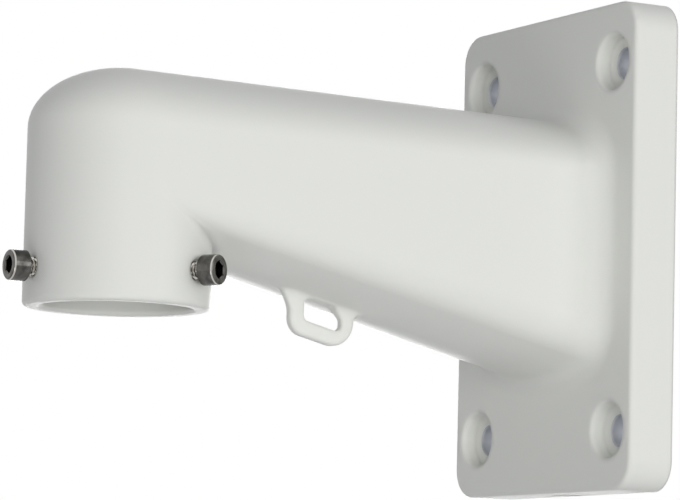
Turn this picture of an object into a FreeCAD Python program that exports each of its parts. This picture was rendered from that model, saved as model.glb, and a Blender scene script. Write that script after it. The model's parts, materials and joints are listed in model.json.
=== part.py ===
import FreeCAD, Part
import math
import os
import re
import Sketcher

# Camera wall bracket: one hollow aluminium casting (wall plate, arm, pipe collar and
# safety-rope eye) with three clamp screws in its collar.
# Frame, in millimetres: the wall is the plane Y = 0 and the arm reaches towards -Y.
# +Z is up, X runs across the plate, and the origin is the centre of the plate's back face.

SIZES = [
    # wall plate
    ("plate_width", 110, "wall plate, across"),
    ("plate_height", 165, "wall plate, up and down"),
    ("plate_depth", 17, "wall plate, from the wall to its front face"),
    ("plate_corner", 10, "radius of the plate's four corners"),
    ("plate_edge", 1.4, "rounding of the plate's front edge"),
    ("plate_rim", 4.5, "wall of the hollow plate all round"),
    ("plate_web", 5, "front wall of the hollow plate"),
    # wall bolts
    ("bolt_margin_across", 14, "from the plate's side edge to the middle of a bolt hole"),
    ("bolt_margin_up", 20.25, "from the plate's upper or lower edge to the middle of a bolt hole"),
    ("bolt_hole", 11, "bolt hole diameter"),
    ("bolt_recess", 19, "diameter of the recess for the bolt head"),
    ("bolt_recess_depth", 5.5, "depth of that recess"),
    ("bolt_boss_wall", 3.2, "metal round the recess inside the plate"),
    ("recess_edge", 0.5, "chamfer of each recess's rim"),
    # cable way
    ("drain_hole", 10, "cable and drain hole in the plate's lower edge"),
    ("casting_wall", 5, "wall of the hollow arm"),
    ("dome_wall", 4.5, "wall of the collar's dome"),
    ("cavity_corner", 3, "lower corners of the arm's cavity, over the collar"),
    # arm
    ("reach", 180.5, "from the wall to the collar's axis"),
    ("arm_width_wall", 75, "arm width where it meets the plate"),
    ("arm_cap_rise", 20.2, "height of the arm's rounded top"),
    ("arm_top_collar", 48.3, "arm top above the plate's centre, over the collar"),
    ("arm_top_wall", 45.6, "arm top above the plate's centre, at the plate"),
    ("arm_under_collar", -4, "arm underside at the collar's axis"),
    ("arm_under_wall", -43.6, "arm underside at the plate"),
    ("under_crown", 90, "radius of the nearly flat underside"),
    ("under_corner_collar", 6.5, "radius between the arm's side and its underside, at the collar"),
    ("under_corner_wall", 12.5, "that radius at the plate"),
    ("root_fillet", 8, "fillet between the arm and the plate"),
    # collar
    ("collar_outside", 61, "outside diameter of the pipe collar"),
    ("collar_bore", 49, "bore of the pipe collar"),
    ("collar_bottom", -29.9, "collar's lower face, from the plate's centre"),
    ("bore_depth", 20, "depth of the machined bore"),
    ("collar_edge", 1.6, "rounding of the collar's lower outer edge"),
    ("bore_edge", 1, "chamfer at the mouth of the bore"),
    # clamp screws
    ("screw_count", 3, "clamp screws round the collar"),
    ("screw_height", 11.5, "screw axis above the collar's lower face"),
    ("screw_thread", 6, "thread diameter"),
    ("screw_length", 8, "length under the head"),
    ("screw_head", 10, "head diameter"),
    ("screw_head_height", 6, "head height"),
    ("screw_socket", 5, "hexagon socket, across flats"),
    ("screw_socket_depth", 3, "depth of the socket"),
    ("screw_head_edge", 0.5, "chamfer of the head's outer edge"),
    ("screw_tip_edge", 0.7, "chamfer of the screw's tip"),
    ("screw_stand_off", 2.3, "thread left showing between the head and the collar"),
    ("thread_gap", 0.05, "clearance of the thread in its hole, on the radius"),
    ("tapped_edge", 0.8, "countersink at the mouth of each tapped hole"),
    # safety-rope eye
    ("eye_thickness", 3.8, "thickness of the safety-rope eye"),
    ("eye_front", 117, "from the wall to the eye's front edge"),
    ("eye_length", 24.4, "length of the eye along the arm"),
    ("eye_drop", 13.8, "height of the eye under the arm"),
    ("eye_flare", 4.5, "how far the front edge spreads forward on its way into the arm"),
    ("eye_flare_drop", 5.5, "how far under the arm that spread begins"),
    ("eye_flare_round", 8, "radius where it begins"),
    ("eye_front_corner", 6, "radius of the eye's lower front corner"),
    ("eye_rear_corner", 8, "radius of the eye's lower rear corner"),
    ("eye_root", 3, "fillet between the eye and the arm"),
    ("eye_edge", 1.2, "rounding of the eye's outer edges"),
    ("slot_length", 14.4, "length of the slot in the eye"),
    ("slot_height", 7.8, "height of the slot"),
    ("slot_cut", 3.4, "how far the slot's upper rear corner is cut off, each way"),
    ("slot_corner", 2.2, "corner radius of the slot"),
    ("slot_edge", 0.9, "rounding of the slot's edges"),
    ("slot_front_margin", 5.3, "from the eye's front edge to the slot"),
    ("slot_lower_margin", 5.5, "metal left under the slot"),
]

doc = FreeCAD.newDocument("camera_wall_bracket")
sheet = doc.addObject("Spreadsheet::Sheet", "Sizes")
for row, (alias, value, note) in enumerate(SIZES, start=1):
    sheet.set(f"A{row}", note)
    sheet.set(f"B{row}", str(value))
    sheet.setAlias(f"B{row}", alias)
doc.recompute()

ALIASES = {alias for alias, value, note in SIZES}
H_AXIS, V_AXIS = -1, -2
START, END, CENTRE = range(1, 4)
# how near an edge lies to the place where it is looked for, and how far it may reach past it
TOUCH = 0.001
SLACK = 0.1


def bound(text):
    """The expression for a text that names sizes by their plain words."""
    return re.sub(r"[a-z_]+", lambda w: f"Sizes.{w[0]}" if w[0] in ALIASES else w[0], text)


def number(text):
    """The present value of such a text, for a sketch's first coordinates."""
    return float(sheet.evalExpression(bound(text)))


def drive(item, field, text):
    item.setExpression(field, bound(text))


def point(x, y):
    return FreeCAD.Vector(x, y, 0)


# sketches

def new_sketch(body, role, name, **shift):
    """A sketch on one of the body's origin planes, shifted by expressions in its own x, y, z."""
    sketch = body.newObject("Sketcher::SketchObject", name)
    plane = next(item for item in body.Origin.OriginFeatures if item.Role == role)
    sketch.AttachmentSupport = [(plane, "")]
    sketch.MapMode = "FlatFace"
    for axis, text in shift.items():
        drive(sketch, f"AttachmentOffset.Base.{axis}", text)
    return sketch


def fix(sketch, *constraint):
    return sketch.addConstraint(Sketcher.Constraint(*constraint))


def measure(sketch, name, text, *constraint):
    """A named dimension of the sketch, bound to the sizes."""
    index = sketch.addConstraint(Sketcher.Constraint(*constraint, number(text)))
    sketch.renameConstraint(index, name)
    drive(sketch, f"Constraints.{name}", text)


def upper_half_ellipse(sketch, half_width, rise, height):
    """The upper half of an ellipse about the V axis, its middle at a height. Returns its number."""
    ellipse = Part.Ellipse(point(0, number(height)), number(half_width), number(rise))
    arc = sketch.addGeometry(Part.ArcOfEllipse(ellipse, 0, math.pi), False)
    major = len(sketch.Geometry)
    sketch.exposeInternalGeometry(arc)
    fix(sketch, "PointOnObject", arc, CENTRE, V_AXIS)
    fix(sketch, "Horizontal", major)
    measure(sketch, "rise", f"2 * ({rise})", "Distance", major + 1)
    measure(sketch, "height", height, "DistanceY", H_AXIS, START, arc, CENTRE)
    return arc


def four_circles(sketch, diameter):
    """One circle at each wall bolt."""
    for name, side, level in (("a", 1, 1), ("b", -1, 1), ("c", -1, -1), ("d", 1, -1)):
        x, y = "plate_width / 2 - bolt_margin_across", "plate_height / 2 - bolt_margin_up"
        middle = point(side * number(x), level * number(y))
        circle = Part.Circle(middle, FreeCAD.Vector(0, 0, 1), number(diameter) / 2)
        index = sketch.addGeometry(circle, False)
        across = (H_AXIS, START, index, CENTRE) if side > 0 else (index, CENTRE, H_AXIS, START)
        up = (H_AXIS, START, index, CENTRE) if level > 0 else (index, CENTRE, H_AXIS, START)
        measure(sketch, f"across_{name}", x, "DistanceX", *across)
        measure(sketch, f"up_{name}", y, "DistanceY", *up)
        measure(sketch, f"diameter_{name}", diameter, "Diameter", index)


def turned_arc(sketch, middle, radius, first, last):
    """An arc about a point, from one direction to another in degrees. Returns its number."""
    circle = Part.Circle(middle, FreeCAD.Vector(0, 0, 1), radius)
    arc = Part.ArcOfCircle(circle, math.radians(first), math.radians(last))
    return sketch.addGeometry(arc, False)


def arm_section(body, name, station, half_width, top, rise, under, crown, corner):
    """The arm's outline at a distance from the wall: elliptic top, flat sides, and a nearly
    flat underside between two rounded corners."""
    sketch = new_sketch(body, "XZ_Plane", name, z=station)
    over = upper_half_ellipse(sketch, half_width, rise, f"({top}) - ({rise})")
    large, small, low = number(crown), number(corner), number(under)
    inset = number(half_width) - small
    spread = math.degrees(math.asin(inset / (large - small)))
    level = low + large - math.sqrt((large - small) ** 2 - inset ** 2)
    left_corner = turned_arc(sketch, point(-inset, level), small, 180, 270 - spread)
    below = turned_arc(sketch, point(0, low + large), large, 270 - spread, 270 + spread)
    right_corner = turned_arc(sketch, point(inset, level), small, 270 + spread, 360)
    left = sketch.addGeometry(
        Part.LineSegment(sketch.getPoint(over, END), sketch.getPoint(left_corner, START)), False)
    right = sketch.addGeometry(
        Part.LineSegment(sketch.getPoint(right_corner, END), sketch.getPoint(over, START)), False)
    chain = [over, left, left_corner, below, right_corner, right]
    for piece, following in zip(chain, chain[1:] + chain[:1]):
        fix(sketch, "Tangent", piece, END, following, START)
    fix(sketch, "Vertical", right)
    fix(sketch, "Equal", left_corner, right_corner)
    fix(sketch, "PointOnObject", below, CENTRE, V_AXIS)
    measure(sketch, "half_width", half_width, "DistanceX", H_AXIS, START, right, START)
    measure(sketch, "corner", corner, "Radius", left_corner)
    measure(sketch, "crown", crown, "Radius", below)
    measure(sketch, "under", f"({under}) + ({crown})", "DistanceY", H_AXIS, START, below, CENTRE)
    return sketch


def outline(sketch, corners):
    """A closed outline of straight lines through corners given as pairs of size texts."""
    ends = [point(number(x), number(y)) for x, y in corners]
    lines = []
    for here, there in zip(ends, ends[1:] + ends[:1]):
        lines.append(sketch.addGeometry(Part.LineSegment(here, there), False))
    for line, following in zip(lines, lines[1:] + lines[:1]):
        fix(sketch, "Coincident", line, END, following, START)
    for index, (line, (x, y)) in enumerate(zip(lines, corners)):
        if x == "0":
            fix(sketch, "PointOnObject", line, START, V_AXIS)
        else:
            measure(sketch, f"x{index}", x, "DistanceX", H_AXIS, START, line, START)
        if y == "0":
            fix(sketch, "PointOnObject", line, START, H_AXIS)
        else:
            measure(sketch, f"y{index}", y, "DistanceY", H_AXIS, START, line, START)


def rounded_outline(sketch, corners, radius):
    """A closed outline with an equal arc at each corner, the corners given as size texts."""
    places = [point(number(x), number(y)) for x, y in corners]
    size = number(radius)
    joins = []
    for before, here, after in zip(places[-1:] + places[:-1], places, places[1:] + places[:1]):
        back, on = (before - here).normalize(), (after - here).normalize()
        inward, half = (back + on).normalize(), back.getAngle(on) / 2
        centre = here + inward * (size / math.sin(half))
        start, end = [here + way * (size / math.tan(half)) for way in (back, on)]
        arc = sketch.addGeometry(Part.Arc(start, centre - inward * size, end), False)
        forward = sketch.getPoint(arc, START).distanceToPoint(start) < size / 2
        joins.append((arc, START, END) if forward else (arc, END, START))
    lines = []
    for (arc, _, leave), (following, enter, _) in zip(joins, joins[1:] + joins[:1]):
        ends = sketch.getPoint(arc, leave), sketch.getPoint(following, enter)
        lines.append(sketch.addGeometry(Part.LineSegment(*ends), False))
        fix(sketch, "Tangent", arc, leave, lines[-1], START)
        fix(sketch, "Tangent", lines[-1], END, following, enter)
    for arc, _, _ in joins[1:]:
        fix(sketch, "Equal", joins[0][0], arc)
    measure(sketch, "corner", radius, "Radius", joins[0][0])
    for index, (x, y) in enumerate(corners):
        corner = sketch.addGeometry(Part.Point(places[index]), True)
        fix(sketch, "PointOnObject", corner, START, lines[index - 1])
        fix(sketch, "PointOnObject", corner, START, lines[index])
        measure(sketch, f"x{index}", x, "DistanceX", H_AXIS, START, corner, START)
        measure(sketch, f"y{index}", y, "DistanceY", H_AXIS, START, corner, START)


def rectangle(width, height):
    """The corners of a centred rectangle, as size texts."""
    right, left = f"({width}) / 2", f"-({width}) / 2"
    upper, lower = f"({height}) / 2", f"-({height}) / 2"
    return [(right, upper), (left, upper), (left, lower), (right, lower)]


def one_circle(sketch, diameter, y):
    """A circle on the V axis, at a height given as a size text."""
    circle = Part.Circle(point(0, number(y)), FreeCAD.Vector(0, 0, 1), number(diameter) / 2)
    index = sketch.addGeometry(circle, False)
    fix(sketch, "PointOnObject", index, CENTRE, V_AXIS)
    measure(sketch, "height", y, "DistanceY", H_AXIS, START, index, CENTRE)
    measure(sketch, "diameter", diameter, "Diameter", index)


# features

def feature(body, kind, name, profile=None, **fields):
    item = body.newObject(f"PartDesign::{kind}", name)
    if profile is not None:
        item.Profile = profile
    for field, setting in fields.items():
        if isinstance(setting, str) and field in ("Length", "Radius", "Size"):
            drive(item, field, setting)
        else:
            setattr(item, field, setting)
    doc.recompute()
    return item


def edges_where(item, test):
    """Names of the edges of a feature's shape that pass a test on their box and shape."""
    return [f"Edge{i}" for i, edge in enumerate(item.Shape.Edges, start=1) if test(edge)]


def near(a, b):
    return abs(a - b) < TOUCH


# the casting

def build_plate(body):
    """A hollow plate, open to the wall, with a boss round each wall bolt."""
    face = new_sketch(body, "XZ_Plane", "plate_outline")
    rounded_outline(face, rectangle("plate_width", "plate_height"), "plate_corner")
    plate = feature(body, "Pad", "plate", face, Length="plate_depth")
    front = edges_where(plate, lambda edge: near(edge.BoundBox.YMax, -number("plate_depth")))
    feature(body, "Fillet", "plate_front_edge", Base=(plate, front), Radius="plate_edge")
    hollow = new_sketch(body, "XZ_Plane", "hollow_outline")
    rounded_outline(hollow, rectangle("plate_width - 2 * plate_rim",
                                      "plate_height - 2 * plate_rim"),
                    "plate_corner - plate_rim")
    feature(body, "Pocket", "plate_hollow", hollow, Length="plate_depth - plate_web",
            Reversed=True)
    bosses = new_sketch(body, "XZ_Plane", "boss_circles")
    four_circles(bosses, "bolt_recess + 2 * bolt_boss_wall")
    feature(body, "Pad", "bolt_bosses", bosses, Length="plate_depth - plate_web / 2")


def build_arm(body):
    """The arm tapers to the collar's width, and its underside rises towards the collar."""
    at_wall = arm_section(body, "arm_at_wall", "plate_depth", "arm_width_wall / 2",
                          "arm_top_wall", "arm_cap_rise",
                          "arm_under_wall", "under_crown", "under_corner_wall")
    at_collar = arm_section(body, "arm_at_collar", "reach", "collar_outside / 2",
                            "arm_top_collar", "arm_cap_rise",
                            "arm_under_collar", "under_crown", "under_corner_collar")
    feature(body, "AdditiveLoft", "arm", at_wall, Sections=[at_collar])


def dome(body, kind, name, radius, rise, turn):
    """The upper part of an ellipsoid over the collar, turned from its far side."""
    item = body.newObject(f"PartDesign::{kind}", name)
    plane = next(item for item in body.Origin.OriginFeatures if item.Role == "XY_Plane")
    item.AttachmentSupport = [(plane, "")]
    item.MapMode = "FlatFace"
    half_round = FreeCAD.Rotation(FreeCAD.Vector(0, 0, 1), 180)
    item.AttachmentOffset = FreeCAD.Placement(FreeCAD.Vector(), half_round)
    drive(item, "AttachmentOffset.Base.y", "-reach")
    drive(item, "AttachmentOffset.Base.z", "arm_top_collar - arm_cap_rise")
    item.Angle1, item.Angle2, item.Angle3 = 0, 90, turn
    drive(item, "Radius1", rise)
    drive(item, "Radius2", radius)
    drive(item, "Radius3", radius)
    doc.recompute()
    return item


def build_collar(body):
    """An upright cylinder, with a dome in front that carries on the arm's own end section."""
    circle = new_sketch(body, "XY_Plane", "collar_circle", z="collar_bottom")
    one_circle(circle, "collar_outside", "-reach")
    collar = feature(body, "Pad", "collar", circle,
                     Length="arm_top_collar - arm_cap_rise - collar_bottom")
    foot = edges_where(collar, lambda edge: near(edge.BoundBox.ZMax, number("collar_bottom")))
    feature(body, "Fillet", "collar_lower_edge", Base=(collar, foot), Radius="collar_edge")
    return dome(body, "AdditiveEllipsoid", "collar_dome", "collar_outside / 2",
                "arm_cap_rise", 180)


def blend_root(body, casting):
    """The fillet where the arm grows out of the plate."""
    half, front = number("arm_width_wall") / 2, -number("plate_depth")
    over, under = number("arm_top_wall"), number("arm_under_wall")

    def meets_plate(edge):
        box = edge.BoundBox
        inside = box.XMax < half + SLACK and box.ZMax < over + SLACK and box.ZMin > under - SLACK
        return inside and near(box.YMin, front) and near(box.YMax, front)

    feature(body, "Fillet", "arm_root", Base=(casting, edges_where(casting, meets_plate)),
            Radius="root_fillet")


def build_cavity(body):
    """The way for the cables: through the plate's web, the arm and the collar's dome."""
    def wall_section(name):
        return arm_section(body, name, "plate_depth", "arm_width_wall / 2 - casting_wall",
                           "arm_top_wall - casting_wall", "arm_cap_rise - casting_wall",
                           "arm_under_wall + casting_wall", "under_crown - casting_wall",
                           "under_corner_wall - casting_wall")

    at_wall = wall_section("cavity_at_wall")
    at_collar = arm_section(body, "cavity_at_collar", "reach",
                            "collar_outside / 2 - casting_wall",
                            "arm_top_collar - casting_wall", "arm_cap_rise - casting_wall",
                            "arm_under_collar + casting_wall", "under_crown - casting_wall",
                            "cavity_corner")
    feature(body, "SubtractiveLoft", "arm_cavity", at_wall, Sections=[at_collar])
    feature(body, "Pocket", "plate_opening", wall_section("web_opening"), Length="plate_depth")
    circle = new_sketch(body, "XY_Plane", "cavity_circle", z="collar_bottom + bore_depth")
    one_circle(circle, "collar_outside - 2 * dome_wall", "-reach")
    feature(body, "Pocket", "collar_cavity", circle, Reversed=True,
            Length="arm_top_collar - arm_cap_rise - collar_bottom - bore_depth")
    dome(body, "SubtractiveEllipsoid", "dome_cavity", "collar_outside / 2 - dome_wall",
         "arm_cap_rise - dome_wall", 360)


def build_bore(body):
    """The machined bore that takes the camera's pipe."""
    circle = new_sketch(body, "XY_Plane", "bore_circle", z="collar_bottom")
    one_circle(circle, "collar_bore", "-reach")
    bore = feature(body, "Pocket", "pipe_bore", circle, Length="bore_depth", Reversed=True)
    radius, foot = number("collar_bore") / 2, number("collar_bottom")
    mouth = edges_where(bore, lambda edge: near(edge.BoundBox.ZMax, foot)
                        and near(edge.BoundBox.XMax, radius))
    feature(body, "Chamfer", "bore_mouth", Base=(bore, mouth), Size="bore_edge")


def build_bolt_holes(body):
    """Four wall bolts, each with its head in a flat recess."""
    circles = new_sketch(body, "XZ_Plane", "bolt_circles", z="plate_depth")
    four_circles(circles, "bolt_hole")
    doc.recompute()
    holes = body.newObject("PartDesign::Hole", "bolt_holes")
    holes.Profile = circles
    holes.DepthType = "ThroughAll"
    holes.HoleCutType = "Counterbore"
    holes.HoleCutCustomValues = True
    drive(holes, "Diameter", "bolt_hole")
    drive(holes, "HoleCutDiameter", "bolt_recess")
    drive(holes, "HoleCutDepth", "bolt_recess_depth")
    doc.recompute()
    front, radius = -number("plate_depth"), number("bolt_recess") / 2
    rims = edges_where(holes, lambda edge: near(edge.BoundBox.YMax, front)
                       and near(edge.BoundBox.XLength, 2 * radius))
    feature(body, "Chamfer", "recess_rims", Base=(holes, rims), Size="recess_edge")


def build_drain(body):
    """The hole in the plate's lower edge, half way through the hollow."""
    circle = new_sketch(body, "XY_Plane", "drain_circle", z="-plate_height / 2")
    one_circle(circle, "drain_hole", "(plate_web - plate_depth) / 2")
    feature(body, "Pocket", "drain", circle, Length="2 * plate_rim", Reversed=True)


def build_tapped_holes(body):
    """The clamp screws' holes: one towards the front, the rest evenly round the collar."""
    profile = new_sketch(body, "YZ_Plane", "tapped_hole_outline", x="-reach",
                         y="collar_bottom + screw_height")
    radius = "(screw_thread / 2 + thread_gap)"
    outside = "-(collar_outside / 2 + bore_edge)"
    outline(profile, [
        ("-(collar_bore / 2 - bore_edge)", "0"),
        ("-(collar_bore / 2 - bore_edge)", radius),
        ("-(collar_outside / 2 - tapped_edge)", radius),
        (outside, f"{radius} + tapped_edge + bore_edge"),
        (outside, "0")])
    hole = feature(body, "Groove", "tapped_hole", profile, ReferenceAxis=(profile, ["H_Axis"]))
    axis = new_sketch(body, "YZ_Plane", "collar_axis", x="-reach")
    pattern = body.newObject("PartDesign::PolarPattern", "tapped_holes")
    pattern.Originals = [hole]
    pattern.Axis = (axis, ["V_Axis"])
    pattern.Angle = 360
    drive(pattern, "Occurrences", "screw_count")
    body.Tip = pattern
    doc.recompute()


UNDERSIDE_SLOPE = "((arm_under_collar - arm_under_wall) / (reach - plate_depth))"


def below_arm(y, drop):
    """The height, as a size text, a given drop below the arm's underside at a given Y."""
    return f"arm_under_collar - {UNDERSIDE_SLOPE} * ({y} + reach) - ({drop})"


def along_x(edge, y, z):
    box = edge.BoundBox
    return near(box.YMin, y) and near(box.YMax, y) and near(box.ZMin, z) and near(box.ZMax, z)


def height_under_arm(edge):
    """How far an edge's middle lies above the arm's underside, less than nothing if below."""
    middle = edge.CenterOfMass
    return middle.z - number(below_arm(f"({middle.y})", "0"))


def build_eye(body):
    """The eye for the safety rope: a rounded tab under the arm with a slanting slot. Its front
    edge flares towards the collar as it runs into the arm."""
    front, rear = "-eye_front", "(eye_length - eye_front)"
    flared = f"({front} - eye_flare)"
    side = new_sketch(body, "YZ_Plane", "eye_outline")
    outline(side, [
        (flared, below_arm(flared, "-casting_wall / 2")),
        (front, below_arm(front, "eye_flare_drop")),
        (front, below_arm(front, "eye_drop")),
        (rear, below_arm(rear, "eye_drop")),
        (rear, below_arm(rear, "-casting_wall / 2"))])
    eye = feature(body, "Pad", "eye", side, Length="eye_thickness", SideType="Symmetric")
    for name, place, drop in (("flare_round", front, "eye_flare_drop"),
                              ("front_corner", front, "eye_drop"),
                              ("rear_corner", rear, "eye_drop")):
        y, z = number(place), number(below_arm(place, drop))
        corner = edges_where(eye, lambda edge: along_x(edge, y, z))
        eye = feature(body, "Fillet", name, Base=(eye, corner), Radius=f"eye_{name}")

    half = number("eye_thickness") / 2
    first, last = number(flared) - number("eye_root"), number(rear) + number("eye_root")

    def on_eye(edge):
        box = edge.BoundBox
        narrow = max(-box.XMin, box.XMax) < half + SLACK
        return narrow and box.YMin > first and box.YMax < last

    def on_side(edge):
        box = edge.BoundBox
        return near(box.XMin, box.XMax) and near(abs(box.XMin), half)

    outer = edges_where(eye, lambda edge: on_eye(edge) and on_side(edge)
                        and height_under_arm(edge) < -number("eye_edge") / 2)
    eye = feature(body, "Fillet", "eye_edges", Base=(eye, outer), Radius="eye_edge")
    root = edges_where(eye, lambda edge: on_eye(edge)
                       and abs(height_under_arm(edge)) < number("eye_edge") / 2)
    feature(body, "Fillet", "eye_root", Base=(eye, root), Radius="eye_root")

    slot_front = f"({front} + slot_front_margin)"
    slot_rear = f"({slot_front} + slot_length)"
    low, high = "eye_drop - slot_lower_margin", "eye_drop - slot_lower_margin - slot_height"
    gap = new_sketch(body, "YZ_Plane", "slot_outline")
    rounded_outline(gap, [
        (slot_front, below_arm(slot_front, high)),
        (slot_front, below_arm(slot_front, low)),
        (slot_rear, below_arm(slot_rear, low)),
        (slot_rear, below_arm(slot_rear, f"{high} + slot_cut")),
        (f"{slot_rear} - slot_cut", below_arm(f"({slot_rear} - slot_cut)", high))],
        "slot_corner")
    slot = feature(body, "Pocket", "slot", gap, Length="4 * eye_thickness",
                   SideType="Symmetric")
    first, last = number(slot_front) - SLACK, number(slot_rear) + SLACK
    reach_out = half + number("eye_root")

    def on_rim(edge):
        box = edge.BoundBox
        beside = box.YMin > first and box.YMax < last and box.XLength < half
        under = -number("eye_drop") < height_under_arm(edge) < 0
        return beside and under and max(-box.XMin, box.XMax) < reach_out

    rim = edges_where(slot, on_rim)
    feature(body, "Fillet", "slot_edges", Base=(slot, rim), Radius="slot_edge")


# the clamp screws

def build_screw(name, angle):
    """A socket head cap screw about its own Z, its origin under the head."""
    body = doc.addObject("PartDesign::Body", name)
    body.Label = name
    profile = new_sketch(body, "XZ_Plane", f"{name}_outline")
    outline(profile, [
        ("0", "-screw_length"),
        ("screw_thread / 2 - screw_tip_edge", "-screw_length"),
        ("screw_thread / 2", "screw_tip_edge - screw_length"),
        ("screw_thread / 2", "0"),
        ("screw_head / 2", "0"),
        ("screw_head / 2", "screw_head_height - screw_head_edge"),
        ("screw_head / 2 - screw_head_edge", "screw_head_height"),
        ("0", "screw_head_height")])
    feature(body, "Revolution", f"{name}_blank", profile, ReferenceAxis=(profile, ["V_Axis"]))
    hexagon = new_sketch(body, "XY_Plane", f"{name}_hexagon", z="screw_head_height")
    corner = "screw_socket / sqrt(3)"
    outline(hexagon, [(f"{corner} * cos({turn})", f"{corner} * sin({turn})")
                      for turn in range(30, 390, 60)])
    feature(body, "Pocket", f"{name}_socket", hexagon, Length="screw_socket_depth")
    outward = FreeCAD.Rotation(FreeCAD.Vector(0, 1, 0), 90)
    body.Placement.Rotation = FreeCAD.Rotation(FreeCAD.Vector(0, 0, 1), angle) * outward
    seat = "(collar_outside / 2 + screw_stand_off)"
    drive(body, "Placement.Base.x", f"{seat} * cos({angle})")
    drive(body, "Placement.Base.y", f"{seat} * sin({angle}) - reach")
    drive(body, "Placement.Base.z", "collar_bottom + screw_height")
    return body


def build_casting():
    body = doc.addObject("PartDesign::Body", "bracket_casting")
    body.Label = "bracket_casting"
    build_plate(body)
    build_arm(body)
    blend_root(body, build_collar(body))
    build_cavity(body)
    build_bore(body)
    build_bolt_holes(body)
    build_drain(body)
    build_tapped_holes(body)
    build_eye(body)
    return body


def check_features(body):
    """Each step adds metal or takes it away, as its kind says, and leaves one sound solid."""
    taking = ("Pocket", "Groove", "Hole", "Chamfer", "PolarPattern", "SubtractiveLoft",
              "SubtractiveEllipsoid")
    adding = ("Pad", "Revolution", "AdditiveLoft", "AdditiveEllipsoid")
    before = 0
    for item in body.Group:
        if not item.isDerivedFrom("PartDesign::Feature"):
            continue
        kind, volume = item.TypeId.split("::")[1], item.Shape.Volume
        if kind in taking and not volume < before or kind in adding and not volume > before:
            raise RuntimeError(f"{item.Name} changes nothing")
        if len(item.Shape.Solids) != 1:
            raise RuntimeError(f"{item.Name} leaves {len(item.Shape.Solids)} solids")
        before = volume


def main():
    bodies = [build_casting()]
    turn = 360 / number("screw_count")
    for index in range(int(number("screw_count"))):
        bodies.append(build_screw(f"clamp_screw_{index + 1}", index * turn - 90))
    doc.recompute()
    for item in doc.Objects:
        if {"Invalid", "Error"} & set(item.State):
            raise RuntimeError(f"{item.Name}: {item.State}")
    for body in bodies:
        if body.Shape.isNull() or not body.Shape.isValid():
            raise RuntimeError(f"{body.Label} has no sound shape")
        check_features(body)
    os.makedirs("parts", exist_ok=True)
    for body in bodies:
        body.Shape.exportStep(f"parts/{body.Label}.step")
        box = body.Shape.BoundBox
        print(f"{body.Label}: {body.Shape.Volume:.0f} mm3, X {box.XMin:.2f} to {box.XMax:.2f},"
              f" Y {box.YMin:.2f} to {box.YMax:.2f}, Z {box.ZMin:.2f} to {box.ZMax:.2f}")


main()
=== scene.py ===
"""Looks of a camera wall bracket: a white powder-coated casting with three clamp screws.

The casting keeps its solid and gets its coat, with bare metal in the bolt holes, tinted
blue-grey as a painted cool shade. The screws are made here with their rolled thread,
smooth head and hexagon socket, with a painted highlight on the thread and the head's edge.
Lengths are in metres, +Z is up, the wall is the plane Y = 0 and the arm reaches out along -Y.
"""

import json
import math

import bmesh
import bpy
from mathutils import Matrix, Vector


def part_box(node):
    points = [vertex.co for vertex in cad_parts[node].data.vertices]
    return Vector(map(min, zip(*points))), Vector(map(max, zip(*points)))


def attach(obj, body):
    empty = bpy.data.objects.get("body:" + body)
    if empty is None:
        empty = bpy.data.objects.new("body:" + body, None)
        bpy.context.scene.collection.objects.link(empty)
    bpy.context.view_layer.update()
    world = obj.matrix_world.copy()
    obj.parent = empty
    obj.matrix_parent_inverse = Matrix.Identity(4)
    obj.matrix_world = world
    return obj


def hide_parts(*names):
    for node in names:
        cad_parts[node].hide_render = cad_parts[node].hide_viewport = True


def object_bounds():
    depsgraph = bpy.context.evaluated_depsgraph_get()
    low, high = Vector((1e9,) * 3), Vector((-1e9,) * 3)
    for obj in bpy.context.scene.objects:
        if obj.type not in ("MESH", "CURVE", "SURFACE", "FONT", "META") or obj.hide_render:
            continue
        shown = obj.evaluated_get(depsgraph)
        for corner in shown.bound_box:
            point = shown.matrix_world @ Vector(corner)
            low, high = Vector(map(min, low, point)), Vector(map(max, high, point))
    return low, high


bl_info = {
    "name": "Camera Wall Bracket",
    "version": (1, 0, 0),
    "blender": (4, 5, 0),
    "location": "View3D > Sidebar > Bracket",
    "description": "Finishes a cast camera wall bracket and its clamp screws",
    "category": "Object",
}

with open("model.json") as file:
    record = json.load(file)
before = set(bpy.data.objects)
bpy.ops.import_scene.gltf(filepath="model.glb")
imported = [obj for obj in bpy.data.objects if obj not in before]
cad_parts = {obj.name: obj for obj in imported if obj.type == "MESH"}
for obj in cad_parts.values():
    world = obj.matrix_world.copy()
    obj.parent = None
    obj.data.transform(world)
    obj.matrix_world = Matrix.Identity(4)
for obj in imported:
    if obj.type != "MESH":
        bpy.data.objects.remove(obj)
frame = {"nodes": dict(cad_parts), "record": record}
cad_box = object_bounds()

MM = 0.001
CASTING = "bracket_casting"
SCREWS = tuple(sorted(name for name in frame["nodes"] if name.startswith("clamp_screw")))

# bare metal reaches this far past a bolt hole's wall, so that the whole wall is bare
HOLE_SLACK = 0.05 * MM
# the recess edges are softened within this distance of a bolt's axis
RECESS_REACH = 13 * MM
# the throat's middle: how far from the collar's axis towards the wall, and how high
COLLAR_TO_THROAT = 20.5 * MM
THROAT_HEIGHT = 4 * MM
# the throat is softened fully out to the reach, and then less and less over the fade
THROAT_REACH = 27 * MM
THROAT_FADE = 4 * MM
BEVEL_SAMPLES = 8

# patches of thicker powder, and how much smoother or rougher they are
BUILD_UP_PATCH = 28 * MM
SHEEN_SPREAD = 0.03

# the steel's drag marks and stains, and the point attribute of its painted highlights
PAINTED_HIGHLIGHT = "bright"
DRAG_MARK = 0.4 * MM
DRAG_HEIGHT = 0.006 * MM
DRAG_STRENGTH = 0.6
STEEL_ROUGHNESS = (0.13, 0.24)
STAIN_PATCH = 2.5 * MM
STAIN_RANGE = (0.25, 0.8)

# how far the floor is lifted towards white where it is seen, and its side in metres
FLOOR_LIFT = 0.7
FLOOR_SIDE = 14.0
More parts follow.
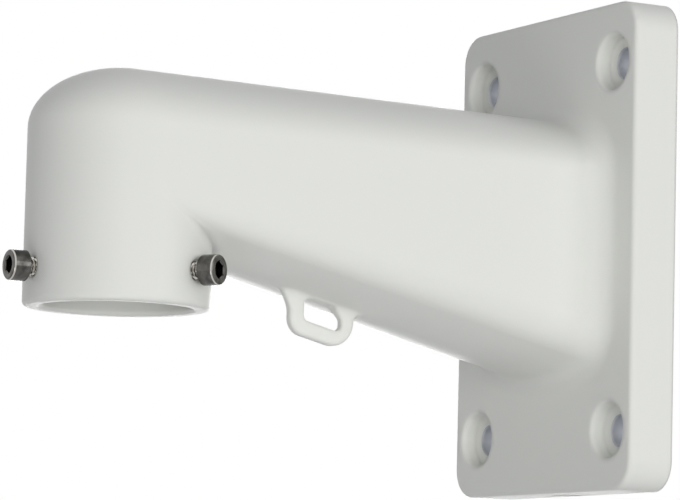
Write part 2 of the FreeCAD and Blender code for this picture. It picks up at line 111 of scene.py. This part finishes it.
# each soft light's turn from +X towards the collar's front, and its rise, in degrees
LIGHTS = {"key": (15, -5), "fill": (60, -30), "rim": (-30, 8), "back": (215, 5)}
# in gloss this light would clip the plate's front to white when seen from the far side
HIDDEN_IN_GLOSS = "key"
# the camera's sensor in millimetres, and how near and how far it sees in metres
SENSOR_WIDTH = 36
CLIP_NEAR, CLIP_FAR = 0.05, 50


# measures read from the frame

def mount(name):
    """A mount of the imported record."""
    return next(item for item in frame["record"]["mounts"] if item["name"] == name)


def collar_axis():
    """The point of the collar's upright axis at the height of the clamp screws."""
    low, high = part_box(SCREWS[0])
    across, out, _ = mount("camera_collar")["pos_m"]
    return Vector((across, out, (low.z + high.z) / 2))


def front_screw_reach():
    """How far the front screw's tip and the top of its head stand from the collar's axis."""
    axis = collar_axis()
    low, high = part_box(SCREWS[0])
    return axis.y - high.y, axis.y - low.y


def front_head_diameter():
    """The front screw's head is its widest part, so its box gives the diameter."""
    low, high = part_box(SCREWS[0])
    return high.x - low.x


SCREW_TIP, SCREW_TOP = front_screw_reach()
HEAD_DIAMETER = front_head_diameter()


# small tools

def linear(code):
    """An sRGB hex colour as linear red, green and blue."""
    values = [int(code[place:place + 2], 16) / 255 for place in (1, 3, 5)]
    return tuple(v / 12.92 if v <= 0.04045 else ((v + 0.055) / 1.055) ** 2.4 for v in values)


def add(tree, kind, inputs=None, **settings):
    """Adds a node with its settings, and its inputs as values or as links.

    A link comes from an output of another node, or from a node for its first output.
    """
    node = tree.nodes.new(kind)
    for name, value in settings.items():
        setattr(node, name, value)
    for name, value in (inputs or {}).items():
        source = value.outputs[0] if isinstance(value, bpy.types.Node) else value
        if isinstance(source, bpy.types.NodeSocket):
            tree.links.new(source, node.inputs[name])
        else:
            node.inputs[name].default_value = source
    return node


def seen_straight(tree):
    """1 where the camera sees a surface itself, in gloss or through glass, else 0."""
    path = add(tree, "ShaderNodeLightPath").outputs
    straight = add(tree, "ShaderNodeMath", {0: path["Is Camera Ray"], 1: path["Is Glossy Ray"]},
                   operation="MAXIMUM")
    return add(tree, "ShaderNodeMath", {0: straight, 1: path["Is Transmission Ray"]},
               operation="MAXIMUM")


def new_material(name):
    """An empty material, ready for its nodes."""
    material = bpy.data.materials.new(name)
    material.use_nodes = True
    material.node_tree.nodes.clear()
    return material, material.node_tree


def put_in_scene(name, data):
    """A new object at the origin, unturned and unscaled."""
    item = bpy.data.objects.new(name, data)
    bpy.context.scene.collection.objects.link(item)
    return item


def require(condition, text):
    """An operator that can't finish stops the script."""
    if not condition:
        raise RuntimeError(text)


# settings

class CoatSettings(bpy.types.PropertyGroup):
    """The powder coat on the casting."""
    colour: bpy.props.FloatVectorProperty(
        name="Colour", description="Main colour of the powder coat",
        subtype="COLOR", size=3, min=0, max=1, default=linear("#EDEDE7"))
    colour_thick: bpy.props.FloatVectorProperty(
        name="Thick colour", description="Colour where the powder has built up",
        subtype="COLOR", size=3, min=0, max=1, default=linear("#EAEBE6"))
    peel: bpy.props.FloatProperty(
        name="Orange peel", description="Distance between the waves of the flowed powder",
        unit="LENGTH", min=0.2 * MM, default=1.7 * MM)
    peel_height: bpy.props.FloatProperty(
        name="Wave height", description="Height of the waves of the flowed powder",
        unit="LENGTH", min=0, default=0.008 * MM)
    roughness: bpy.props.FloatProperty(
        name="Roughness", description="Roughness of the satin surface",
        min=0, max=1, default=0.42)
    # the drilled aluminium's colour is tinted blue-grey as a painted cool shade in the holes
    bare_metal_and_cool_shade: bpy.props.FloatVectorProperty(
        name="Bare metal", description="Colour of the drilled aluminium in the bolt holes",
        subtype="COLOR", size=3, min=0, max=1, default=linear("#CBCDD2"))
    bare_roughness: bpy.props.FloatProperty(
        name="Bare roughness", description="Roughness of the drilled aluminium",
        min=0, max=1, default=0.6)
    edge_blend: bpy.props.FloatProperty(
        name="Edge blend", description="How wide the coat eases the edges",
        unit="LENGTH", min=0, default=1.6 * MM)
    recess_blend: bpy.props.FloatProperty(
        name="Recess blend", description="Width of the soft edges of the bolt recesses",
        unit="LENGTH", min=0, default=3 * MM)
    throat_blend: bpy.props.FloatProperty(
        name="Throat blend", description="Width of the soft corner between underside and collar",
        unit="LENGTH", min=0, default=9 * MM)


class ScrewSettings(bpy.types.PropertyGroup):
    """The three socket head cap screws that clamp the camera's pipe."""
    head_height: bpy.props.FloatProperty(
        name="Head height", description="Height of the cylindrical head",
        unit="LENGTH", default=6 * MM)
    head_edge: bpy.props.FloatProperty(
        name="Head edge", description="Width of the rounded edge round the head's top",
        unit="LENGTH", default=0.8 * MM)
    socket: bpy.props.FloatProperty(
        name="Socket", description="Width across the flats of the hexagon socket",
        unit="LENGTH", default=5 * MM)
    socket_depth: bpy.props.FloatProperty(
        name="Socket depth", description="Depth of the hexagon socket",
        unit="LENGTH", default=3 * MM)
    thread: bpy.props.FloatProperty(
        name="Thread", description="Outer diameter of the thread",
        unit="LENGTH", default=6 * MM)
    pitch: bpy.props.FloatProperty(
        name="Pitch", description="Distance between the turns of the thread",
        unit="LENGTH", default=1 * MM)
    thread_depth: bpy.props.FloatProperty(
        name="Thread depth", description="Depth of the thread's groove",
        unit="LENGTH", default=0.58 * MM)
    # the steel's colour is darkened as a painted dark reflection of the surroundings
    colour: bpy.props.FloatVectorProperty(
        name="Steel", description="Colour of the bare stainless steel",
        subtype="COLOR", size=3, min=0, max=1, default=linear("#6E6C69"))
    colour_stained: bpy.props.FloatVectorProperty(
        name="Stained steel", description="Colour where the skin of the head is darkest",
        subtype="COLOR", size=3, min=0, max=1, default=linear("#3A3937"))
    # painted highlight on a ring of the head's rounded edge, and painted reflection on the thread
    colour_painted_highlight: bpy.props.FloatVectorProperty(
        name="Bright steel", description="Colour of the rolled thread and of the worn edge",
        subtype="COLOR", size=3, min=0, max=1, default=linear("#C6C3BD"))


class StudioSettings(bpy.types.PropertyGroup):
    """The floor, the light and the camera."""
    floor_drop: bpy.props.FloatProperty(
        name="Floor", description="How far the floor lies under the wall plate",
        unit="LENGTH", default=1100 * MM)
    floor_colour: bpy.props.FloatVectorProperty(
        name="Floor colour", description="Colour of the pale floor",
        subtype="COLOR", size=3, min=0, max=1, default=linear("#DEDEDE"))
    room_colour: bpy.props.FloatVectorProperty(
        name="Room colour", description="Colour of the light from all round",
        subtype="COLOR", size=3, min=0, max=1, default=linear("#F8FBFF"))
    ambient: bpy.props.FloatProperty(
        name="Room light", description="Brightness of the light from all round",
        min=0, default=0.27)
    key: bpy.props.FloatProperty(
        name="Key light", description="Power of the light beside the camera, in watts",
        min=0, default=18.3)
    fill: bpy.props.FloatProperty(
        name="Fill light", description="Power of the low light in front of the collar, in watts",
        min=0, default=4.3)
    rim: bpy.props.FloatProperty(
        name="Rim light", description="Power of the light on the plate's edge, in watts",
        min=0, default=5.2)
    back: bpy.props.FloatProperty(
        name="Back light", description="Power of the light on the far sides, in watts",
        min=0, default=14)
    light_side: bpy.props.FloatProperty(
        name="Light size", description="Side of each square light",
        unit="LENGTH", default=1.0)
    light_distance: bpy.props.FloatProperty(
        name="Light distance", description="From the bracket's middle to each light",
        unit="LENGTH", default=2.0)
    focal_length: bpy.props.FloatProperty(
        name="Focal length", description="Focal length of the camera, in millimetres",
        min=1, default=201)
    camera_place: bpy.props.FloatVectorProperty(
        name="Camera place", description="Where the camera stands, from the plate's middle",
        subtype="TRANSLATION", size=3, default=(1.097183, -0.723579, -0.144685))
    camera_turn: bpy.props.FloatVectorProperty(
        name="Camera turn", description="The camera's pitch, roll and heading",
        subtype="EULER", size=3,
        default=(math.radians(6.333), math.radians(1.406), math.radians(60.30)))


# materials

def near_bolts(tree, place, reach):
    """1 within a reach of the nearest bolt's axis, 0 elsewhere."""
    bolts = mount("wall_bolts")["dims"]
    bolt = Vector((bolts["spacing_x_mm"], 0, bolts["spacing_y_mm"])) / 2 * MM
    flat = add(tree, "ShaderNodeVectorMath", {0: place, 1: (1, 0, 1)}, operation="MULTIPLY")
    corner = add(tree, "ShaderNodeVectorMath", {0: flat}, operation="ABSOLUTE")
    away = add(tree, "ShaderNodeVectorMath", {0: corner, 1: bolt}, operation="DISTANCE")
    return add(tree, "ShaderNodeMath", {0: away.outputs["Value"], 1: reach},
               operation="LESS_THAN")


def throat_middle():
    """The middle of the corner where the arm's underside runs into the collar."""
    axis = collar_axis()
    return Vector((axis.x, axis.y + COLLAR_TO_THROAT, THROAT_HEIGHT))


def soft_edges(tree, place, coat):
    """Rounds the edges in the shading: most in the throat, then in the recesses."""
    away = add(tree, "ShaderNodeVectorMath", {0: place, 1: throat_middle()},
               operation="DISTANCE")
    eased = add(tree, "ShaderNodeMapRange",
                {"Value": away.outputs["Value"], "From Min": THROAT_REACH,
                 "From Max": THROAT_REACH + THROAT_FADE, "To Min": coat.throat_blend,
                 "To Max": coat.edge_blend})
    recess = add(tree, "ShaderNodeMath",
                 {0: near_bolts(tree, place, RECESS_REACH), 1: coat.recess_blend},
                 operation="MULTIPLY")
    wide = add(tree, "ShaderNodeMath", {0: eased, 1: recess}, operation="MAXIMUM")
    return add(tree, "ShaderNodeBevel", {"Radius": wide}, samples=BEVEL_SAMPLES)


def powder_coat(coat):
    """Satin white polyester powder coat, sprayed and baked on a die casting.

    The powder flows out in low waves, an even orange peel of about 1.7 mm, so that soft
    highlights break up slightly. Its colour is nearly even. Where it has built up it is a
    trace cooler and smoother. It rounds each edge softly, most of all in the cast throat.
    The bolt holes are drilled after it, so their walls are bare aluminium, tinted blue-grey
    as a painted cool shade.
    """
    material, tree = new_material("satin_white_powder_coat")
    place = add(tree, "ShaderNodeTexCoord").outputs["Object"]
    build_up = add(tree, "ShaderNodeTexNoise",
                   {"Vector": place, "Scale": 1 / BUILD_UP_PATCH, "Detail": 2, "Roughness": 0.5})
    tone = add(tree, "ShaderNodeMixRGB",
               {"Fac": build_up.outputs["Fac"],
                "Color1": (*coat.colour, 1), "Color2": (*coat.colour_thick, 1)})
    sheen = add(tree, "ShaderNodeMapRange",
                {"Value": build_up.outputs["Fac"], "To Min": coat.roughness + SHEEN_SPREAD,
                 "To Max": coat.roughness - SHEEN_SPREAD})
    waves = add(tree, "ShaderNodeTexNoise",
                {"Vector": place, "Scale": 1 / coat.peel, "Detail": 3, "Roughness": 0.45})
    relief = add(tree, "ShaderNodeBump",
                 {"Height": waves.outputs["Fac"], "Strength": 1, "Distance": coat.peel_height,
                  "Normal": soft_edges(tree, place, coat)})
    bare = near_bolts(tree, place, mount("wall_bolts")["dims"]["hole_r_mm"] * MM + HOLE_SLACK)
    drilled = add(tree, "ShaderNodeMath", {0: bare, 1: coat.bare_roughness},
                  operation="MULTIPLY")
    rough = add(tree, "ShaderNodeMath", {0: sheen, 1: drilled}, operation="MAXIMUM")
    # in the bolt holes the skin is bare aluminium, tinted blue-grey as a painted cool shade
    skin = add(tree, "ShaderNodeMixRGB",
               {"Fac": bare, "Color1": tone, "Color2": (*coat.bare_metal_and_cool_shade, 1)})
    shader = add(tree, "ShaderNodeBsdfPrincipled",
                 {"Base Color": skin, "Roughness": rough, "Normal": relief,
                  "Metallic": bare, "IOR": 1.5})
    add(tree, "ShaderNodeOutputMaterial", {"Surface": shader})
    return material


def stainless_steel(screws):
    """Bare A2 stainless steel, cold-headed and thread-rolled.

    The rolled skin is glossy, and its colour is darkened as a painted dark reflection of the
    surroundings, so lamps show in it as clear streaks. The thread and a ring on the head's
    rounded edge are painted light, as painted reflection and painted highlight. Drag marks of
    about 0.3 mm don't show from afar and are drawn at 0.4 mm.
    """
    material, tree = new_material("rolled_stainless_steel")
    place = add(tree, "ShaderNodeTexCoord").outputs["Object"]
    drag = add(tree, "ShaderNodeTexNoise",
               {"Vector": place, "Scale": 1 / DRAG_MARK, "Detail": 3, "Roughness": 0.6})
    stain = add(tree, "ShaderNodeTexNoise",
                {"Vector": place, "Scale": 1 / STAIN_PATCH, "Detail": 2, "Roughness": 0.5})
    spread = add(tree, "ShaderNodeMapRange",
                 {"Value": stain.outputs["Fac"], "From Min": STAIN_RANGE[0],
                  "From Max": STAIN_RANGE[1]})
    # the steel's colour is darkened as a painted dark reflection, darker still in random stains
    skin = add(tree, "ShaderNodeMixRGB",
               {"Fac": spread, "Color1": (*screws.colour, 1),
                "Color2": (*screws.colour_stained, 1)})
    # painted highlight: the thread and a ring on the head's rounded edge get the light steel
    # colour
    bright = add(tree, "ShaderNodeAttribute", attribute_name=PAINTED_HIGHLIGHT)
    tone = add(tree, "ShaderNodeMixRGB",
               {"Fac": bright.outputs["Fac"], "Color1": skin,
                "Color2": (*screws.colour_painted_highlight, 1)})
    rough = add(tree, "ShaderNodeMapRange",
                {"Value": drag.outputs["Fac"], "To Min": STEEL_ROUGHNESS[0],
                 "To Max": STEEL_ROUGHNESS[1]})
    relief = add(tree, "ShaderNodeBump",
                 {"Height": drag.outputs["Fac"], "Strength": DRAG_STRENGTH,
                  "Distance": DRAG_HEIGHT})
    shader = add(tree, "ShaderNodeBsdfPrincipled",
                 {"Base Color": tone, "Roughness": rough, "Normal": relief, "Metallic": 1})
    add(tree, "ShaderNodeOutputMaterial", {"Surface": shader})
    return material


def pale_floor(colour):
    """Matt painted board, seen from above only.

    The camera, gloss and glass see it lifted towards white, with its shadow kept.
    """
    material, tree = new_material("matt_painted_board")
    board = add(tree, "ShaderNodeBsdfDiffuse", {"Color": (*colour, 1)})
    white = add(tree, "ShaderNodeEmission", {"Color": (1, 1, 1, 1), "Strength": 1})
    lifted = add(tree, "ShaderNodeMixShader", {"Fac": FLOOR_LIFT, 1: board, 2: white})
    seen = add(tree, "ShaderNodeMixShader", {"Fac": seen_straight(tree), 1: board, 2: lifted})
    under = add(tree, "ShaderNodeNewGeometry").outputs["Backfacing"]
    clear = add(tree, "ShaderNodeBsdfTransparent")
    shader = add(tree, "ShaderNodeMixShader", {"Fac": under, 1: seen, 2: clear})
    add(tree, "ShaderNodeOutputMaterial", {"Surface": shader})
    return material


# the clamp screws

# steps of the outline: for one turn of the thread, a straight wall, the socket's drilled
# cone and the rounded top edge, and those of the top edge that carry a painted highlight
THREAD_STEPS = 8
WALL_STEPS = 4
CONE_STEPS = 2
EDGE_STEPS = 5
HIGHLIT_STEPS = (3, 4)
ZONES = ("hexagonal", "threaded", "worn")
# points round the screw's axis, and a sixth of a turn for the hexagon
SIDES = 144
SIXTH = math.pi / 3
# the chamfer at the socket's mouth, the height of its cone and the chamfer under the head
SOCKET_EDGE = 0.45 * MM
SOCKET_CONE = 0.6 * MM
UNDER_EDGE = 0.25 * MM
# a short step that keeps two corners of the outline apart
NECK = 0.15 * MM
# points closer than this become one, and edges sharper than this aren't shaded smooth
MERGE_DISTANCE = 0.001 * MM
SHARP_ANGLE = math.radians(32)


def stretch(start, end, steps, zone=""):
    """Outline points from start to end, without the end, each with its zone."""
    return [(start[0] + (end[0] - start[0]) * i / steps,
             start[1] + (end[1] - start[1]) * i / steps, zone) for i in range(steps)]


def rounded_edge(radius_out, top, edge):
    """Outline points of the quarter round at the head's top."""
    points = []
    for step in range(EDGE_STEPS + 1):
        angle = math.pi / 2 * (1 - step / EDGE_STEPS)
        # the middle steps of the rounded edge are marked for the painted highlight
        zone = "worn" if step in HIGHLIT_STEPS else ""
        points.append((radius_out - edge + edge * math.cos(angle),
                       top - edge + edge * math.sin(angle), zone))
    return points


def screw_outline(screws):
    """Half of the screw's section as (radius, height, zone), from the socket's floor to the tip.

    Height 0 is the underside of the head, and the thread reaches down from there.
    """
    head = HEAD_DIAMETER / 2
    top = screws.head_height
    length = SCREW_TOP - SCREW_TIP - top
    socket = screws.socket / 2
    floor = top - screws.socket_depth
    mouth = socket / math.cos(SIXTH / 2) + NECK
    thread = screws.thread / 2
    tip = -length + screws.thread_depth
    rows = round(length / screws.pitch * THREAD_STEPS)
    points = [(0, floor - SOCKET_CONE, "")]
    points += stretch((socket / 2, floor - SOCKET_CONE / 2), (socket, floor), CONE_STEPS)
    points += stretch((socket, floor), (socket, top - SOCKET_EDGE), WALL_STEPS, "hexagonal")
    points += [(socket, top - SOCKET_EDGE, "hexagonal"), (mouth, top, "")]
    points += rounded_edge(head, top, screws.head_edge)
    points += stretch((head, top - screws.head_edge - NECK), (head, UNDER_EDGE), WALL_STEPS)
    points += [(head, UNDER_EDGE, ""), (head - UNDER_EDGE, 0, "")]
    points += [(thread + NECK, 0, ""), (thread, -NECK, "")]
    points += stretch((thread, -2 * NECK), (thread, tip), rows, "threaded")
    points += [(thread, tip, ""), (thread - screws.thread_depth, -length, ""), (0, -length, "")]
    return points


def outline_mesh(points):
    """The outline as loose points with a number for each zone."""
    mesh = bpy.data.meshes.new("screw_outline")
    mesh.from_pydata([(radius, 0, height) for radius, height, _ in points], [], [])
    for name in ZONES:
        values = mesh.attributes.new(name, "FLOAT", "POINT")
        values.data.foreach_set("value", [float(zone == name) for _, _, zone in points])
    return mesh


def screw_sockets(tree):
    """Names what the tree is given, and the screw that it returns."""
    for name, kind in (("Outline", "NodeSocketGeometry"), ("Sides", "NodeSocketInt"),
                       ("Pitch", "NodeSocketFloat"), ("Thread Depth", "NodeSocketFloat"),
                       ("Steel", "NodeSocketMaterial")):
        tree.interface.new_socket(name=name, in_out="INPUT", socket_type=kind)
    tree.interface.new_socket(name="Screw", in_out="OUTPUT", socket_type="NodeSocketGeometry")


def on_row(tree, outline, row, kind, source):
    """What the source gives at the outline's point of this row."""
    sample = add(tree, "GeometryNodeSampleIndex",
                 {"Geometry": outline, "Value": source, "Index": row},
                 data_type=kind, domain="POINT")
    return sample.outputs["Value"]


def hexagon_radius(tree, radius, angle, hexagonal):
    """The radius of a circle, or of the hexagon round it where hexagonal is 1."""
    from_flat = add(tree, "ShaderNodeMath", {0: angle, 1: SIXTH / 2}, operation="PINGPONG")
    narrowed = add(tree, "ShaderNodeMath", {0: from_flat}, operation="COSINE")
    widened = add(tree, "ShaderNodeMath", {0: 1.0, 1: narrowed}, operation="DIVIDE")
    scale = add(tree, "ShaderNodeMapRange", {"Value": hexagonal, "To Min": 1.0, "To Max": widened})
    return add(tree, "ShaderNodeMath", {0: radius, 1: scale}, operation="MULTIPLY")


def thread_cut(tree, given, height, turn, threaded):
    """The depth of the thread's V at a height and a share of a turn, where threaded is 1."""
    turns_up = add(tree, "ShaderNodeMath", {0: height, 1: given["Pitch"]}, operation="DIVIDE")
    phase = add(tree, "ShaderNodeMath", {0: turns_up, 1: turn}, operation="SUBTRACT")
    from_root = add(tree, "ShaderNodeMath", {0: phase, 1: 0.5}, operation="PINGPONG")
    groove = add(tree, "ShaderNodeMapRange",
                 {"Value": from_root, "From Max": 0.5, "To Min": given["Thread Depth"],
                  "To Max": 0.0})
    return add(tree, "ShaderNodeMath", {0: groove, 1: threaded}, operation="MULTIPLY")


def screw_tree():
    """Turns an outline round the Z axis, with its hexagon and its thread."""
    tree = bpy.data.node_groups.new("socket_cap_screw", "GeometryNodeTree")
    screw_sockets(tree)
    given = add(tree, "NodeGroupInput").outputs
    outline = given["Outline"]
    count = add(tree, "GeometryNodeAttributeDomainSize", {"Geometry": outline}, component="MESH")
    rows = count.outputs["Point Count"]
    columns = add(tree, "ShaderNodeMath", {0: given["Sides"], 1: 1}, operation="ADD")
    grid = add(tree, "GeometryNodeMeshGrid",
               {"Size X": 1.0, "Size Y": 1.0, "Vertices X": columns, "Vertices Y": rows})

    # the grid's points are numbered up one column after another
    index = add(tree, "GeometryNodeInputIndex")
    row = add(tree, "ShaderNodeMath", {0: index, 1: rows}, operation="FLOORED_MODULO")
    passed = add(tree, "ShaderNodeMath", {0: index, 1: rows}, operation="DIVIDE")
    column = add(tree, "ShaderNodeMath", {0: passed}, operation="FLOOR")
    turn = add(tree, "ShaderNodeMath", {0: column, 1: given["Sides"]}, operation="DIVIDE")
    angle = add(tree, "ShaderNodeMath", {0: turn, 1: 2 * math.pi}, operation="MULTIPLY")

    place = on_row(tree, outline, row, "FLOAT_VECTOR", add(tree, "GeometryNodeInputPosition"))
    parts = add(tree, "ShaderNodeSeparateXYZ", {"Vector": place}).outputs
    zone = {}
    for name in ZONES:
        named = add(tree, "GeometryNodeInputNamedAttribute", {"Name": name}, data_type="FLOAT")
        zone[name] = on_row(tree, outline, row, "FLOAT", named.outputs["Attribute"])
    full = hexagon_radius(tree, parts["X"], angle, zone["hexagonal"])
    cut = thread_cut(tree, given, parts["Z"], turn, zone["threaded"])
    radius = add(tree, "ShaderNodeMath", {0: full, 1: cut}, operation="SUBTRACT")
    section = add(tree, "ShaderNodeCombineXYZ", {"X": radius, "Z": parts["Z"]})
    spot = add(tree, "ShaderNodeVectorRotate", {"Vector": section, "Angle": angle},
               rotation_type="Z_AXIS")

    # the thread and a ring of the head's edge are marked to be painted light, as painted
    # reflection and painted highlight
    bright = add(tree, "ShaderNodeMath", {0: zone["threaded"], 1: zone["worn"]},
                 operation="MAXIMUM")
    marked = add(tree, "GeometryNodeStoreNamedAttribute",
                 {"Geometry": grid, "Name": PAINTED_HIGHLIGHT, "Value": bright},
                 data_type="FLOAT", domain="POINT")
    turned = add(tree, "GeometryNodeSetPosition", {"Geometry": marked, "Position": spot})
    closed = add(tree, "GeometryNodeMergeByDistance",
                 {"Geometry": turned, "Distance": MERGE_DISTANCE})
    real = add(tree, "GeometryNodeRealizeInstances", {"Geometry": closed})
    steel = add(tree, "GeometryNodeSetMaterial", {"Geometry": real, "Material": given["Steel"]})
    add(tree, "NodeGroupOutput", {"Screw": steel})
    return tree


def set_input(modifier, name, value):
    """Sets a modifier's input by its socket's identifier."""
    sockets = modifier.node_group.interface.items_tree
    socket = next(item for item in sockets if item.name == name and item.in_out == "INPUT")
    modifier[socket.identifier] = value


def screw_mesh(screws, steel):
    """One screw along the Z axis as a plain mesh, its head's underside at height 0."""
    pattern = put_in_scene("screw_pattern", outline_mesh(screw_outline(screws)))
    modifier = pattern.modifiers.new("cap_screw", "NODES")
    modifier.node_group = screw_tree()
    for name, value in (("Sides", SIDES), ("Pitch", screws.pitch),
                        ("Thread Depth", screws.thread_depth), ("Steel", steel)):
        set_input(modifier, name, value)
    depsgraph = bpy.context.evaluated_depsgraph_get()
    mesh = bpy.data.meshes.new_from_object(pattern.evaluated_get(depsgraph))
    bpy.data.objects.remove(pattern)
    work = bmesh.new()
    work.from_mesh(mesh)
    bmesh.ops.recalc_face_normals(work, faces=work.faces)
    work.to_mesh(mesh)
    work.free()
    mesh.shade_smooth()
    mesh.set_sharp_from_angle(angle=SHARP_ANGLE)
    return mesh


def outward(node):
    """The level direction from the collar's axis to the screw."""
    low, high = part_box(node)
    way = (low + high) / 2 - collar_axis()
    way.z = 0
    return way.normalized()


def screw_place(node, head_height):
    """Where the screw's own frame lies: Z out along the screw, its Y upwards."""
    way = outward(node)
    up = Vector((0, 0, 1))
    side = up.cross(way)
    turn = Matrix((side, up, way)).transposed().to_4x4()
    return Matrix.Translation(collar_axis() + way * (SCREW_TOP - head_height)) @ turn


# operators

class BRACKET_OT_coat_casting(bpy.types.Operator):
    """Gives the casting its powder coat"""
    bl_idname = "bracket.coat_casting"
    bl_label = "Coat the casting"

    def execute(self, context):
        casting = frame["nodes"][CASTING]
        material = powder_coat(context.scene.bracket_coat)
        require(casting.material_slots, "the casting has no material slot")
        for slot in casting.material_slots:
            slot.material = material
        return {"FINISHED"}


class BRACKET_OT_make_screws(bpy.types.Operator):
    """Makes the three clamp screws in the collar"""
    bl_idname = "bracket.make_screws"
    bl_label = "Make the clamp screws"

    def execute(self, context):
        screws = context.scene.bracket_screws
        steel = stainless_steel(screws)
        pattern = screw_mesh(screws, steel)
        require(len(pattern.polygons) > SIDES, "the screw came out empty")
        for node in SCREWS:
            mesh = pattern.copy()
            mesh.transform(screw_place(node, screws.head_height))
            screw = put_in_scene(node.replace("clamp_screw", "cap_screw"), mesh)
            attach(screw, "root")
            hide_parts(node)
        bpy.data.meshes.remove(pattern)
        return {"FINISHED"}


def square(name, side, height):
    """A level square at a height, with its middle on the Z axis."""
    half = side / 2
    mesh = bpy.data.meshes.new(name)
    corners = ((-half, -half), (half, -half), (half, half), (-half, half))
    mesh.from_pydata([(x, y, height) for x, y in corners], [], [(0, 1, 2, 3)])
    return put_in_scene(name, mesh)


def room_light(scene, studio):
    """Even light from all round. The camera, gloss and glass see the room as plain white."""
    scene.world = bpy.data.worlds.new("white_room")
    scene.world.use_nodes = True
    tree = scene.world.node_tree
    tree.nodes.clear()
    soft = add(tree, "ShaderNodeBackground",
               {"Color": (*studio.room_colour, 1), "Strength": studio.ambient})
    white = add(tree, "ShaderNodeBackground", {"Color": (1, 1, 1, 1), "Strength": 1})
    room = add(tree, "ShaderNodeMixShader", {"Fac": seen_straight(tree), 1: soft, 2: white})
    add(tree, "ShaderNodeOutputWorld", {"Surface": room})


def soft_box(name, studio):
    """A square lamp that faces the bracket's middle, with its turn and rise from LIGHTS."""
    lamp = bpy.data.lights.new(name + "_light", "AREA")
    lamp.shape = "SQUARE"
    lamp.size = studio.light_side
    lamp.energy = getattr(studio, name)
    item = put_in_scene(name + "_light", lamp)
    low, high = cad_box
    turn, rise = [math.radians(angle) for angle in LIGHTS[name]]
    level = math.cos(rise)
    way = Vector((level * math.cos(turn), -level * math.sin(turn), math.sin(rise)))
    item.location = (low + high) / 2 + way * studio.light_distance
    item.rotation_euler = way.to_track_quat("Z", "Y").to_euler()
    item.visible_camera = False
    item.visible_glossy = name != HIDDEN_IN_GLOSS


def photo_camera(studio):
    """The camera at the photograph's angle: its heading, then its pitch, then its roll."""
    camera = bpy.data.cameras.new("camera")
    camera.sensor_width = SENSOR_WIDTH
    camera.lens = studio.focal_length
    camera.clip_start, camera.clip_end = CLIP_NEAR, CLIP_FAR
    item = put_in_scene("camera", camera)
    pitch, roll, heading = studio.camera_turn
    turn = (Matrix.Rotation(heading, 4, "Z") @ Matrix.Rotation(math.pi / 2 + pitch, 4, "X")
            @ Matrix.Rotation(roll, 4, "Z"))
    item.matrix_world = Matrix.Translation(studio.camera_place) @ turn
    return item


class BRACKET_OT_build_stage(bpy.types.Operator):
    """Builds the floor, the light and the camera"""
    bl_idname = "bracket.build_stage"
    bl_label = "Build the stage"

    def execute(self, context):
        scene, studio = context.scene, context.scene.bracket_studio
        floor = square("floor", FLOOR_SIDE, cad_box[0].z - studio.floor_drop)
        floor.data.materials.append(pale_floor(studio.floor_colour))
        room_light(scene, studio)
        for name in LIGHTS:
            soft_box(name, studio)
        scene.view_settings.view_transform = "Standard"
        scene.camera = photo_camera(studio)
        return {"FINISHED"}


class BRACKET_PT_looks(bpy.types.Panel):
    """The bracket's pieces and settings"""
    bl_label = "Camera wall bracket"
    bl_space_type = "VIEW_3D"
    bl_region_type = "UI"
    bl_category = "Bracket"

    def draw(self, context):
        for heading, settings, operator in (
                ("Casting", context.scene.bracket_coat, "bracket.coat_casting"),
                ("Clamp screws", context.scene.bracket_screws, "bracket.make_screws"),
                ("Stage", context.scene.bracket_studio, "bracket.build_stage")):
            box = self.layout.box()
            box.label(text=heading)
            for name in settings.__annotations__:
                box.prop(settings, name)
            box.operator(operator)


CLASSES = (CoatSettings, ScrewSettings, StudioSettings, BRACKET_OT_coat_casting,
           BRACKET_OT_make_screws, BRACKET_OT_build_stage, BRACKET_PT_looks)


def register():
    for item in CLASSES:
        bpy.utils.register_class(item)
    bpy.types.Scene.bracket_coat = bpy.props.PointerProperty(type=CoatSettings)
    bpy.types.Scene.bracket_screws = bpy.props.PointerProperty(type=ScrewSettings)
    bpy.types.Scene.bracket_studio = bpy.props.PointerProperty(type=StudioSettings)


def unregister():
    del bpy.types.Scene.bracket_studio
    del bpy.types.Scene.bracket_screws
    del bpy.types.Scene.bracket_coat
    for item in reversed(CLASSES):
        bpy.utils.unregister_class(item)


def main():
    register()
    bpy.ops.bracket.build_stage()
    bpy.ops.bracket.coat_casting()
    bpy.ops.bracket.make_screws()


if __name__ == "__main__":
    main()
